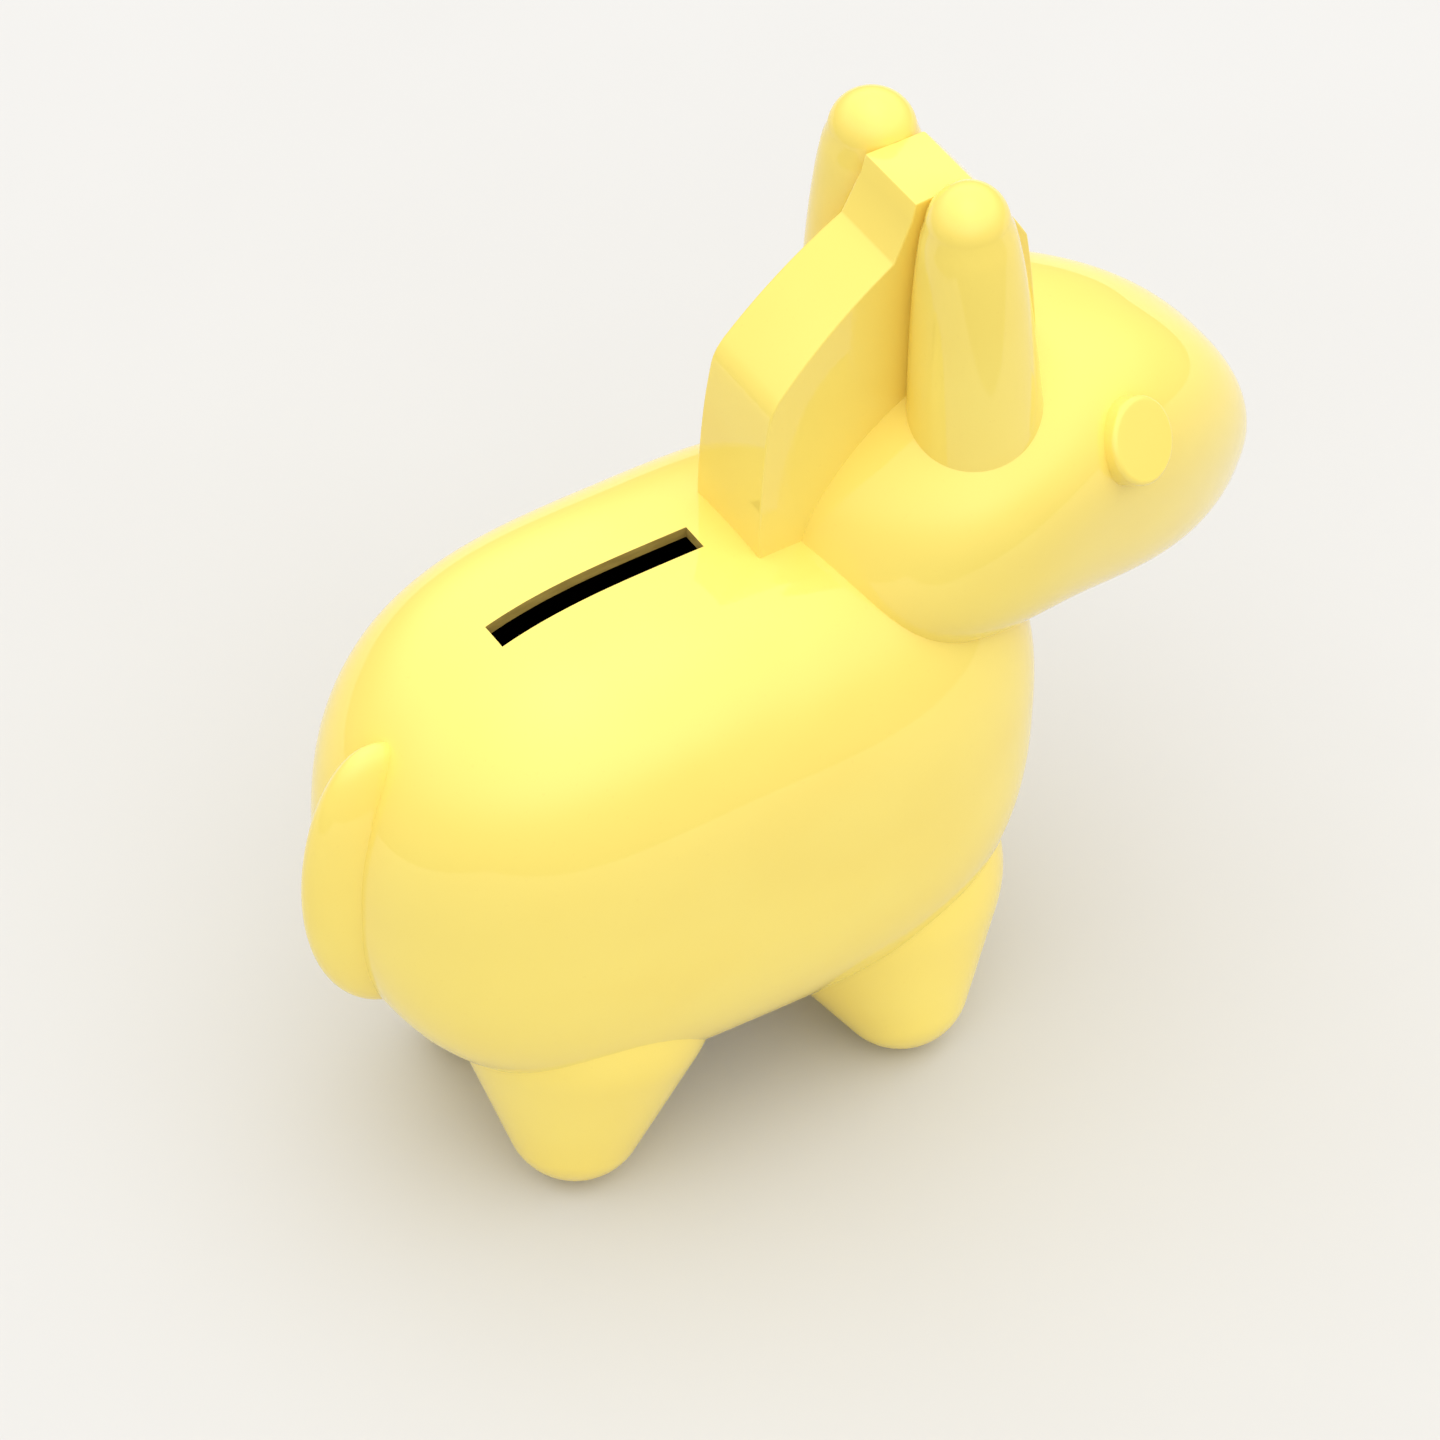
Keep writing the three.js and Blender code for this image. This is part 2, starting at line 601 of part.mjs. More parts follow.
function addHead(fixings) {
  const floorTop = blobSolid(grown(BODY, GAP + WALL));
  const head = headVolume
    .subtract(bodyKeepOut)
    .subtract(cavityWithPads(headCavity, fixings).subtract(floorTop).subtract(neckPadInHead))
    .subtract(neckHole);
  addPiece('head_shell', drilled(head, fixings), YELLOW);
}

// ------------------------------------------------------------------ assembly

const bodyFixings = [
  fixing(maneScrewSeats.rear, up, MANE_SCREWS.length),
  fixing(tailSeat, rearward, TAIL_SCREW_LENGTH),
];
const headFixings = [fixing(maneScrewSeats.front, up, MANE_SCREWS.length)];
for (const sideName of Object.keys(SIDES)) {
  for (const kind of Object.keys(LEGS)) {
    bodyFixings.push(addLeg(kind, sideName));
  }
  headFixings.push(addEar(sideName), addEye(sideName));
}
addBody(bodyFixings);
addHead(headFixings);
addNeck();
addMane();
addTail();
addStopper();

export default group;
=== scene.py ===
"""The looks of a glossy yellow plastic money bank in the shape of a small donkey.

Shapes are worked out in millimetres in the frame that the CAD model's own sizes use, and every
mesh is brought into the row frame, in metres, as it is made (see `placed`). +X is towards the
muzzle, +Y to the animal's left and +Z up, with the feet on Z = 0.
"""
import json
import math

import bmesh
import bpy
from mathutils import Matrix, Vector


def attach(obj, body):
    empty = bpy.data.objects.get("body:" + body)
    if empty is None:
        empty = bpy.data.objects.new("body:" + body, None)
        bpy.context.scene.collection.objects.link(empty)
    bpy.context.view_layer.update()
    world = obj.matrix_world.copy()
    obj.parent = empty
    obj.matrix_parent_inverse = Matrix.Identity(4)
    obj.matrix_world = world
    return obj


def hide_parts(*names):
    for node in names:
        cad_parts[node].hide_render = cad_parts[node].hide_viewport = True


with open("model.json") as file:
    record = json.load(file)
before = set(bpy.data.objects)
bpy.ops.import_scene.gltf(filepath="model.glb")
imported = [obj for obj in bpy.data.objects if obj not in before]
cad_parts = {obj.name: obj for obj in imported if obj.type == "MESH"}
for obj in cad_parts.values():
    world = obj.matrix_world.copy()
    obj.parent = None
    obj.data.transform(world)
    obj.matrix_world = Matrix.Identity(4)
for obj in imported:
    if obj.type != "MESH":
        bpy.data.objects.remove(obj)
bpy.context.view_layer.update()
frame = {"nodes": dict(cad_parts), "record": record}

# ---------------------------------------------------------------- driving dimensions (mm)

MM = 0.001
MIDDLE_X = 19.8  # the row frame's origin lies under the middle of the bank's length
SINK = 0.05  # how far a piece reaches into the wall that it is seated on
WALL = 1.8
FINE = (132, 144)  # rows and columns of a blob that is seen
MEDIUM = (96, 96)
COARSE = (72, 72)  # and of one that only hollows another out

BODY = dict(
    x=1.7, z=55.9, a=55, b=32.2, c=40.7, length_power=3.3, end_power=0.5, section_power=2.7,
    width_taper=0.018, height_taper=0.018, arch=0, pitch=-1.4,
)
HEAD = dict(
    x=60.4, z=90.6, a=43.4, b=24.6, c=22.5, length_power=3.13, end_power=0.65, section_power=2.62,
    width_taper=-0.55, height_taper=-0.165, arch=-9.7, pitch=-19.4,
)
SLOT = dict(rear=-27.3, front=5.2, width=4.6, above_middle=20, past_top=10)
MANE = dict(thickness=15.0, at=(20.5, 111), thinning_forward=0.058, thinning_up=0.044, edge=0.25)
EAR = dict(
    tip=(41.3, 11.8, 145.6), tip_radius=6, low=(42.2, 12.9, 119.6), low_radius=8.6, root=16,
    long_way=45, long_scale=1.04, short_scale=0.98, bulge=0.9,
)
EYE = dict(
    radius=6.3, thickness=2.3, edge=0.8, sunk=3, stem=1.6, stem_past_wall=4.5,
    facing=(0.33, 0.81, 0.48), behind=(53.4, 0, 90.6),
)
TAIL = dict(
    x=-45.7, z=58.4, depth=13.2, half_width=6.4, half_height=25.1, taper=0.15, tilt=5, rows=72, columns=96,
)
LEGS = {
    "leg_rear": dict(foot=(-24.6, 14.7, 9.9), foot_radius=10.3, root=(-20, 9.6, 29.5), root_radius=19.5),
    "leg_front": dict(foot=(29, 18.1, 9.8), foot_radius=10.2, root=(29.3, 8.2, 25.5), root_radius=20),
}
ARCH = dict(x=29, z=7.3, radius=8, half_length=30)
CUTTER = dict(x=90, y=60, below=-20, above=60)  # how far the blocks that trim the legs reach
STOPPER = dict(
    x=2, hole=12.9, flange=14.4, bottom=14.6, seat=16.8, top=22.7, boss=15.6, past_top=5, leg_room=30,
    floor=2.4,
)
STOPPER_RINGS = dict(starts=(5.2, 9.2), rise=0.45, top_from=0.3, top_to=1.1, width=1.4)
STOPPER_TAB = dict(half_length=6, half_thickness=1.15, drop=3, root=1, edge=0.7)
STOPPER_RIBS = dict(
    each_way=4, spacing=1.15, half_width=0.3, half_thickness=1.5, low=-2.4, high=-0.4, edge=0.18,
)
NECK = dict(inner=(22.8, 0, 62.3), tilt=36.9, tube=10, hole_from=-14, hole_to=9)
GAP = 0.3
SIDES = {"left": 1, "right": -1}
UP = Vector((0, 0, 1))

# ---------------------------------------------------------------- meshes


def placed(point):
    """A point of the CAD's own sizes, in millimetres, as a point of the row frame in metres."""
    return Vector(((point[0] - MIDDLE_X) * MM, point[1] * MM, point[2] * MM))


def new_object(name, vertices, faces):
    """An object whose mesh has these points, in millimetres, and these faces, turned outwards."""
    mesh = bpy.data.meshes.new(name)
    mesh.from_pydata([placed(v) for v in vertices], [], faces)
    work = bmesh.new()
    work.from_mesh(mesh)
    bmesh.ops.remove_doubles(work, verts=work.verts, dist=1e-7)
    bmesh.ops.recalc_face_normals(work, faces=work.faces)
    work.to_mesh(mesh)
    work.free()
    obj = bpy.data.objects.new(name, mesh)
    bpy.context.scene.collection.objects.link(obj)
    return obj


def apply_modifiers(obj):
    graph = bpy.context.evaluated_depsgraph_get()
    mesh = bpy.data.meshes.new_from_object(obj.evaluated_get(graph))
    obj.modifiers.clear()
    obj.data = mesh
    return obj


def boolean(obj, tool, operation):
    """Cuts a tool from an object or joins it to it, and removes the tool."""
    modifier = obj.modifiers.new("boolean", "BOOLEAN")
    modifier.operation = operation
    modifier.solver = "MANIFOLD"
    modifier.object = tool
    apply_modifiers(obj)
    bpy.data.objects.remove(tool)


def cut(obj, *tools):
    for tool in tools:
        boolean(obj, tool, "DIFFERENCE")


def join(obj, *tools):
    for tool in tools:
        boolean(obj, tool, "UNION")


def bevelled(obj, width, angle=25, segments=2):
    modifier = obj.modifiers.new("bevel", "BEVEL")
    modifier.width = width * MM
    modifier.segments = segments
    modifier.limit_method = "ANGLE"
    modifier.angle_limit = math.radians(angle)
    return apply_modifiers(obj)


def smooth(obj, angle):
    obj.data.shade_smooth()
    obj.data.set_sharp_from_angle(angle=math.radians(angle))


def arc(centre, radius, start, end, steps):
    """Points of a circle's arc, from one angle to another, in degrees."""
    for i in range(steps + 1):
        angle = math.radians(start + (end - start) * i / steps)
        yield (centre[0] + radius * math.cos(angle), centre[1] + radius * math.sin(angle))


def turned(name, profile, origin, direction, segments=96):
    """A closed profile of (radius, height) points turned round an axis. A profile that starts and
    ends on the axis makes a solid, and one that closes on itself makes a ring."""
    direction = Vector(direction).normalized()
    turn = direction.to_track_quat("Z", "Y").to_matrix()
    solid = profile[0][0] == 0 and profile[-1][0] == 0
    vertices = []
    for radius, height in profile:
        for j in range(segments):
            angle = 2 * math.pi * j / segments
            local = Vector((radius * math.cos(angle), radius * math.sin(angle), height))
            vertices.append(Vector(origin) + turn @ local)
    faces = []
    rows = len(profile)
    for i in range(rows - 1 if solid else rows):
        here, there = i * segments, ((i + 1) % rows) * segments
        for j in range(segments):
            k = (j + 1) % segments
            faces.append((here + j, here + k, there + k, there + j))
    if solid:  # the rows on the axis are a point each
        first, last = len(vertices), len(vertices) + 1
        end = (rows - 1) * segments
        vertices += [vertices[0], vertices[end]]
        inner = [f for f in faces if f[0] >= segments and f[2] < end]
        for j in range(segments):
            k = (j + 1) % segments
            inner.append((first, segments + k, segments + j))
            inner.append((last, end - segments + j, end - segments + k))
        used = sorted({v for f in inner for v in f})
        order = {v: n for n, v in enumerate(used)}
        vertices = [vertices[v] for v in used]
        faces = [tuple(order[v] for v in f) for f in inner]
    return new_object(name, vertices, faces)


def stretch(obj, origin, direction, scale):
    """Makes a shape longer or shorter along one direction, about a point."""
    centre = placed(origin)
    for vertex in obj.data.vertices:
        offset = vertex.co - centre
        vertex.co += direction * (offset.dot(direction) * (scale - 1))


def rod(radius, low, high, origin, direction, segments=96):
    return turned("rod", [(0, low), (radius, low), (radius, high), (0, high)], origin, direction, segments)


def block(low, high):
    corners = [(x, y, z) for x in (low[0], high[0]) for y in (low[1], high[1]) for z in (low[2], high[2])]
    faces = [(0, 1, 3, 2), (4, 6, 7, 5), (0, 4, 5, 1), (2, 3, 7, 6), (0, 2, 6, 4), (1, 5, 7, 3)]
    return new_object("block", corners, faces)


def tapered_bar(
    name, low, low_radius, high, high_radius, segments=112, arc_steps=28, bar_steps=20, bulge=0.0,
):
    """The smooth hull of two balls: a round bar that widens from one to the other, and may bulge."""
    low, high = Vector(low), Vector(high)
    length = (high - low).length
    slope = math.degrees(math.asin((low_radius - high_radius) / length))
    profile = list(arc((0, 0), low_radius, -90, slope, arc_steps))
    start = profile[-1]
    finish = list(arc((0, length), high_radius, slope, 90, arc_steps))
    for i in range(1, bar_steps):
        share = i / bar_steps
        swell = bulge * math.sin(math.pi * (1 - share) ** 0.6)
        radius = start[0] + (finish[0][0] - start[0]) * share + swell
        profile.append((radius, start[1] + (finish[0][1] - start[1]) * share))
    profile += finish
    profile[0] = (0, profile[0][1])
    profile[-1] = (0, profile[-1][1])
    return turned(name, profile, low, high - low, segments)


# ---------------------------------------------------------------- blobs


def blob_section(blob, t):
    """Half width, half height and rise of the middle line at t, from -1 (rear) to 1 (front)."""
    round_off = max(0.0, 1 - abs(t) ** blob["length_power"]) ** blob["end_power"]
    width = blob["b"] * round_off * (1 + blob["width_taper"] * t)
    height = blob["c"] * round_off * (1 + blob["height_taper"] * t)
    return width, height, blob["arch"] * t * t


def blob_point(blob, t, angle):
    """The point of a blob's surface that lies at t along it, at an angle round its middle line."""
    width, height, rise = blob_section(blob, t)
    across, upward = math.cos(angle), math.sin(angle)
    y = z = 0.0
    if width > 0:
        power = blob["section_power"]
        reach = (abs(across) ** power + abs(upward) ** power) ** (-1 / power)
        y = width * across * reach
        z = height * upward * reach
    z += rise
    x = blob["a"] * t
    tip = math.radians(blob["pitch"])
    return Vector((
        blob["x"] + x * math.cos(tip) - z * math.sin(tip),
        y,
        blob["z"] + x * math.sin(tip) + z * math.cos(tip),
    ))


def grown(blob, distance):
    return dict(blob, a=blob["a"] + distance, b=blob["b"] + distance, c=blob["c"] + distance)


def rounded(name, point, rows, columns):
    """A solid that closes at both ends: point(t, angle) is on its surface, with t from -1 to 1."""
    vertices = [point(-1, 0)]
    for i in range(1, rows):
        t = -math.cos(math.pi * i / rows)
        for j in range(columns):
            vertices.append(point(t, 2 * math.pi * j / columns))
    vertices.append(point(1, 0))
    last = len(vertices) - 1
    faces = []
    for j in range(columns):
        k = (j + 1) % columns
        faces.append((0, 1 + k, 1 + j))
        faces.append((last, last - columns + j, last - columns + k))
        for i in range(rows - 2):
            here, there = 1 + i * columns, 1 + (i + 1) * columns
            faces.append((here + j, here + k, there + k, there + j))
    return new_object(name, vertices, faces)


def blob_object(name, blob, steps=FINE):
    def point(t, angle):
        return blob_point(blob, t, angle)

    return rounded(name, point, *steps)


def blob_holds(blob, point):
    tip = math.radians(blob["pitch"])
    dx, dz = point[0] - blob["x"], point[2] - blob["z"]
    t = (dx * math.cos(tip) + dz * math.sin(tip)) / blob["a"]
    if abs(t) >= 1:
        return False
    width, height, rise = blob_section(blob, t)
    z = -dx * math.sin(tip) + dz * math.cos(tip) - rise
    power = blob["section_power"]
    return abs(point[1] / width) ** power + abs(z / height) ** power < 1


def distance_out(blob, origin, direction, far=120.0):
    """How far along a line from inside a blob its surface lies."""
    inside, outside = 0.0, far
    while outside - inside > 0.001:
        middle = (inside + outside) / 2
        if blob_holds(blob, Vector(origin) + Vector(direction) * middle):
            inside = middle
        else:
            outside = middle
    return inside


def body_room():
    return blob_object("body_room", grown(BODY, -SINK))


def head_room():
    return blob_object("head_room", grown(HEAD, -SINK))


# ---------------------------------------------------------------- materials


class Nodes:
    """The nodes of a material or a world, with short calls to add and link them."""

    def __init__(self, tree_owner):
        self.owner = tree_owner
        tree_owner.use_nodes = True
        self.tree = tree_owner.node_tree
        self.shader = self.tree.nodes.get("Principled BSDF")
        self.place = self.add("ShaderNodeTexCoord").outputs["Object"]

    def add(self, kind, **settings):
        node = self.tree.nodes.new(kind)
        for key, value in settings.items():
            setattr(node, key, value)
        return node

    def link(self, output, target):
        self.tree.links.new(output, target)

    def noise(self, size, detail=3.0, roughness=0.5, stretch=None):
        """Noise whose features are about `size` millimetres across, from 0 to 1."""
        node = self.add("ShaderNodeTexNoise")
        node.inputs["Scale"].default_value = 1 / (size * MM)
        node.inputs["Detail"].default_value = detail
        node.inputs["Roughness"].default_value = roughness
        source = self.place
        if stretch:
            mapping = self.add("ShaderNodeMapping")
            mapping.inputs["Scale"].default_value = stretch
            self.link(source, mapping.inputs["Vector"])
            source = mapping.outputs["Vector"]
        self.link(source, node.inputs["Vector"])
        return node.outputs["Fac"]

    def ramp(self, value, low, high, out_low=0.0, out_high=1.0):
        node = self.add("ShaderNodeMapRange")
        node.interpolation_type = "SMOOTHSTEP"
        for key, number in zip(("From Min", "From Max", "To Min", "To Max"), (low, high, out_low, out_high)):
            node.inputs[key].default_value = number
        self.link(value, node.inputs["Value"])
        return node.outputs["Result"]

    def math(self, operation, a, b):
        node = self.add("ShaderNodeMath", operation=operation)
        for socket, value in zip(node.inputs, (a, b)):
            if isinstance(value, (int, float)):
                socket.default_value = value
            else:
                self.link(value, socket)
        return node.outputs[0]

    def mix(self, factor, a, b):
        node = self.add("ShaderNodeMix", data_type="RGBA")
        self.link(factor, node.inputs["Factor"])
        for socket, colour in ((node.inputs[6], a), (node.inputs[7], b)):
            if isinstance(colour, tuple):
                socket.default_value = (*colour, 1)
            else:
                self.link(colour, socket)
        return node.outputs[2]

    def height(self):
        node = self.add("ShaderNodeSeparateXYZ")
        self.link(self.place, node.inputs[0])
        return node.outputs["Z"]

    def bump(self, height, depth, strength=1.0):
        node = self.add("ShaderNodeBump")
        node.inputs["Distance"].default_value = depth * MM
        node.inputs["Strength"].default_value = strength
        self.link(height, node.inputs["Height"])
        self.link(node.outputs["Normal"], self.shader.inputs["Normal"])


def new_material(name):
    return Nodes(bpy.data.materials.new(name))


def new_world(name):
    world = bpy.data.worlds.new(name)
    bpy.context.scene.world = world
    return world


def yellow_plastic():
    """Glossy moulded plastic: an even warm yellow with faint pigment flow, an orange-peel skin,
    patches of handling haze, and scuffs under the feet."""
    nodes = new_material("yellow_plastic")
    flow = nodes.ramp(nodes.noise(34, detail=2, stretch=(1, 1, 1.6)), 0.35, 0.65)
    colour = nodes.mix(flow, (0.985, 0.772, 0.158), (0.998, 0.798, 0.172))
    specks = nodes.ramp(nodes.noise(0.7, detail=1), 0.70, 0.78)
    colour = nodes.mix(nodes.math("MULTIPLY", specks, 0.35), colour, (0.95, 0.73, 0.150))
    sole = nodes.ramp(nodes.height(), 0.0003, 0.0016, 1.0, 0.0)
    scuff = nodes.math("MULTIPLY", sole, nodes.ramp(nodes.noise(1.3, detail=5), 0.42, 0.62))
    colour = nodes.mix(nodes.math("MULTIPLY", scuff, 0.45), colour, (0.55, 0.40, 0.13))
    nodes.link(colour, nodes.shader.inputs["Base Color"])
    haze = nodes.ramp(nodes.noise(18, detail=5, roughness=0.6), 0.48, 0.72, 0.022, 0.07)
    streaks = nodes.ramp(nodes.noise(1.1, detail=2, stretch=(0.12, 1, 1)), 0.66, 0.80, 0.0, 0.05)
    rough = nodes.math("ADD", nodes.math("ADD", haze, streaks), nodes.math("MULTIPLY", scuff, 0.4))
    nodes.link(rough, nodes.shader.inputs["Roughness"])
    nodes.shader.inputs["IOR"].default_value = 1.49
    peel = nodes.noise(2.4, detail=2)
    nodes.bump(peel, 0.008, 0.25)
    return nodes.owner


def inner_wall_painted_shade():
    """The inside of the hollow body, coloured with painted shade: it is made near black, far darker than the
    plastic, so that the slot looks as black as in the photograph; the real inside is most likely the same
    yellow."""
    nodes = new_material("inner_wall_painted_shade")
    inner_shade_mottle = nodes.ramp(nodes.noise(9, detail=4), 0.35, 0.7)
    # painted shade: a near-black colour with a faint random mottle, standing in for the shade inside the
    # hollow
    colour = nodes.mix(inner_shade_mottle, (0.006, 0.004, 0.002), (0.010, 0.007, 0.003))
    nodes.link(colour, nodes.shader.inputs["Base Color"])
    nodes.link(nodes.ramp(nodes.noise(3, detail=3), 0.3, 0.7, 0.75, 0.95), nodes.shader.inputs["Roughness"])
    nodes.shader.inputs["Specular IOR Level"].default_value = 0.1
    nodes.bump(nodes.noise(0.8), 0.03, 0.5)
    return nodes.owner


def slot_sides_painted_shade():
    """The coin slot's sides: duller than the skin, and darker by painted shade, at about half the plastic's
    brightness, to match their tone in the photograph. That coins rubbed them so is a guess."""
    nodes = new_material("slot_sides_painted_shade")
    slot_shade_mottle = nodes.ramp(nodes.noise(1.2, detail=4, stretch=(0.3, 1, 1)), 0.35, 0.7)
    # painted shade: the slot's sides coloured darker than the plastic, with a faint random mottle
    nodes.link(nodes.mix(slot_shade_mottle, (0.40, 0.285, 0.062), (0.50, 0.365, 0.085)), nodes.shader.inputs["Base Color"])
    nodes.link(nodes.ramp(nodes.noise(0.8, detail=3), 0.3, 0.7, 0.45, 0.65), nodes.shader.inputs["Roughness"])
    nodes.bump(nodes.noise(0.4, detail=3, stretch=(0.2, 1, 1)), 0.02, 0.5)
    return nodes.owner


def pale_floor():
    nodes = new_material("pale_floor")
    tone = nodes.ramp(nodes.noise(90, detail=3), 0.3, 0.7)
    colour = nodes.mix(tone, (0.641, 0.631, 0.612), (0.649, 0.640, 0.622))
    nodes.link(colour, nodes.shader.inputs["Base Color"])
    nodes.shader.inputs["Roughness"].default_value = 0.9
    nodes.shader.inputs["Specular IOR Level"].default_value = 0.15
    return nodes.owner


def natural_nylon():
    """Uncoloured nylon: a milky satin skin with faint flow marks."""
    nodes = new_material("natural_nylon")
    flow = nodes.ramp(nodes.noise(7, detail=4, stretch=(1, 1, 0.3)), 0.35, 0.68)
    nodes.link(nodes.mix(flow, (0.69, 0.66, 0.55), (0.76, 0.73, 0.63)), nodes.shader.inputs["Base Color"])
    nodes.link(nodes.ramp(nodes.noise(1.6, detail=4), 0.3, 0.7, 0.36, 0.54), nodes.shader.inputs["Roughness"])
    nodes.bump(nodes.noise(0.5, detail=3), 0.02, 0.4)
    return nodes.owner


def steel(name, dull, bright, low_rough, high_rough):
    """Drawn and plated steel: fine draw marks, a mottled plating and a few dark specks."""
    nodes = new_material(name)
    mottle = nodes.ramp(nodes.noise(1.8, detail=4), 0.35, 0.65)
    colour = nodes.mix(mottle, dull, bright)
    specks = nodes.ramp(nodes.noise(0.35, detail=2), 0.68, 0.76)
    colour = nodes.mix(nodes.math("MULTIPLY", specks, 0.5), colour, tuple(0.45 * c for c in dull))
    nodes.link(colour, nodes.shader.inputs["Base Color"])
    marks = nodes.noise(0.25, detail=3, stretch=(1, 1, 0.08))
    nodes.link(nodes.ramp(marks, 0.3, 0.7, low_rough, high_rough), nodes.shader.inputs["Roughness"])
    nodes.shader.inputs["Metallic"].default_value = 1.0
    nodes.bump(marks, 0.006, 0.5)
    return nodes.owner


def stopper_rubber():
    """Soft off-white rubber: matt, a little blotched, with a fine grain and lint in its skin."""
    nodes = new_material("stopper_rubber")
    blotch = nodes.ramp(nodes.noise(6, detail=4), 0.35, 0.68)
    colour = nodes.mix(blotch, (0.60, 0.54, 0.39), (0.67, 0.61, 0.46))
    lint = nodes.ramp(nodes.noise(0.6, detail=2), 0.66, 0.74)
    colour = nodes.mix(nodes.math("MULTIPLY", lint, 0.4), colour, (0.42, 0.38, 0.30))
    nodes.link(colour, nodes.shader.inputs["Base Color"])
    nodes.link(nodes.ramp(nodes.noise(2, detail=4), 0.3, 0.7, 0.62, 0.82), nodes.shader.inputs["Roughness"])
    nodes.shader.inputs["Specular IOR Level"].default_value = 0.35
    nodes.bump(nodes.noise(0.3, detail=3), 0.03, 0.6)
    return nodes.owner


FINISHES = {
    "yellow_plastic": yellow_plastic(),
    "natural_nylon": natural_nylon(),
    "spring_steel": steel("spring_steel", (0.10, 0.11, 0.12), (0.19, 0.20, 0.22), 0.30, 0.48),
    "screw_steel": steel("screw_steel", (0.40, 0.42, 0.45), (0.56, 0.57, 0.58), 0.20, 0.38),
    "stopper_rubber": stopper_rubber(),
}
# painted shade: the near-black inside of the body and the darkened sides of the coin slot
INNER_PAINTED_SHADE = inner_wall_painted_shade()
SLOT_SIDES_PAINTED_SHADE = slot_sides_painted_shade()


def finish_piece(obj, node, slot="yellow_plastic", body="bank", angle=28):
    """Gives a finished piece its name, its material and its place in the frame."""
    obj.name = f"{node}_skin"
    obj.data.name = obj.name
    obj.data.materials.clear()
    obj.data.materials.append(FINISHES[slot])
    for polygon in obj.data.polygons:
        polygon.material_index = 0
    smooth(obj, angle)
    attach(obj, body)
    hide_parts(node)


def paint_inside_shade(obj, blob):
    """Gives the inner wall of a hollow shell its near-black painted-shade material, and the coin slot's sides
    their darker painted-shade one.
    """
    near_hollow = 0.25  # faces this near to the hollow belong to its wall
    near_skin = 0.02  # and faces this near to the outer skin belong to the skin
    upright = 0.02  # the most that a slot side's normal may point up or down
    obj.data.materials.append(INNER_PAINTED_SHADE)
    obj.data.materials.append(SLOT_SIDES_PAINTED_SHADE)
    inside = grown(blob, -WALL + near_hollow)
    under_skin = grown(blob, -near_skin)
    for polygon in obj.data.polygons:
        centre = (polygon.center.x / MM + MIDDLE_X, polygon.center.y / MM, polygon.center.z / MM)
        slot_side = centre[2] > blob["z"] and abs(polygon.normal.z) < upright
        # painted shade: faces of the hollow's wall and of the slot's sides get the darkened materials
        if blob_holds(inside, centre):
            polygon.material_index = 1
        elif slot_side and blob_holds(under_skin, centre):
            polygon.material_index = 2


# ---------------------------------------------------------------- pieces


def mirrored(point, side_name):
    """A point given for the left side, on the side of this name."""
    return (point[0], SIDES[side_name] * point[1], point[2])


def make_body():
    body = blob_object("body", BODY)
    cavity = blob_object("cavity", grown(BODY, -WALL), COARSE)
    cut(cavity, rod(STOPPER["boss"], 0, STOPPER["top"], (STOPPER["x"], 0, 0), UP))
    slot = block(
        (SLOT["rear"], -SLOT["width"] / 2, BODY["z"] + SLOT["above_middle"]),
        (SLOT["front"], SLOT["width"] / 2, BODY["z"] + BODY["c"] + SLOT["past_top"]),
    )
    tilt = math.radians(NECK["tilt"])
    neck_direction = Vector((math.sin(tilt), 0, math.cos(tilt)))
    neck = Vector(NECK["inner"]) + neck_direction * distance_out(BODY, NECK["inner"], neck_direction)
    axis = (STOPPER["x"], 0, 0)
    cut(
        body, cavity, slot,
        rod(NECK["tube"] + GAP, NECK["hole_from"], NECK["hole_to"], neck, neck_direction),
        rod(STOPPER["hole"], 0, STOPPER["top"] + STOPPER["past_top"], axis, UP),
        rod(STOPPER["flange"] + GAP, 0, STOPPER["seat"], axis, UP),
    )
    finish_piece(body, "body_shell")
    paint_inside_shade(body, BODY)


def make_head():
    head = blob_object("head", HEAD)
    cavity = blob_object("cavity", grown(HEAD, -WALL), COARSE)
    cut(cavity, blob_object("floor", grown(BODY, WALL), MEDIUM))
    cut(head, body_room(), cavity)
    finish_piece(head, "head_shell")


def curve(start, bend, end, steps):
    """Points of a quadratic curve after its start."""
    for i in range(1, steps + 1):
        t = i / steps
        yield tuple((1 - t) ** 2 * a + 2 * t * (1 - t) * b + t * t * c for a, b, c in zip(start, bend, end))


def mane_outline():
    """X and Z up the nape, over the step behind the ears and down the forelock, then back
    inside the head and the body."""
    points = [(10.6, 86), (10.6, 96)]
    points += curve((10.6, 96), (10.7, 110), (12.5, 119.7), 12)
    points += curve((12.5, 119.7), (12.9, 121.8), (14.4, 123.5), 6)
    points += curve((14.4, 123.5), (22.6, 132.4), (32.9, 138.4), 16)
    points += [(35.8, 144.4), (36.5, 147.2), (45.8, 147.3)]
    points += curve((45.8, 147.3), (51.8, 139.5), (55.3, 133), 12)
    points += curve((55.3, 133), (56.6, 124.7), (57.5, 110), 10)
    points += [(50, 102), (30, 88)]
    return points


def mane_volume(extra=0.0):
    outline = mane_outline()
    middle_x, middle_z = MANE["at"]
    vertices = []
    for side in (1, -1):
        for x, z in outline:
            thinning = MANE["thinning_forward"] * (x - middle_x) + MANE["thinning_up"] * (z - middle_z)
            vertices.append((x, side * ((MANE["thickness"] - thinning) / 2 + extra), z))
    count = len(outline)
    faces = [tuple(range(count)), tuple(reversed(range(count, 2 * count)))]
    for i in range(count):
        k = (i + 1) % count
        faces.append((i, count + i, count + k, k))
    return new_object("mane", vertices, faces)


def make_mane():
    mane = bevelled(mane_volume(), MANE["edge"])
    cut(mane, body_room(), head_room())
    finish_piece(mane, "mane", angle=20)


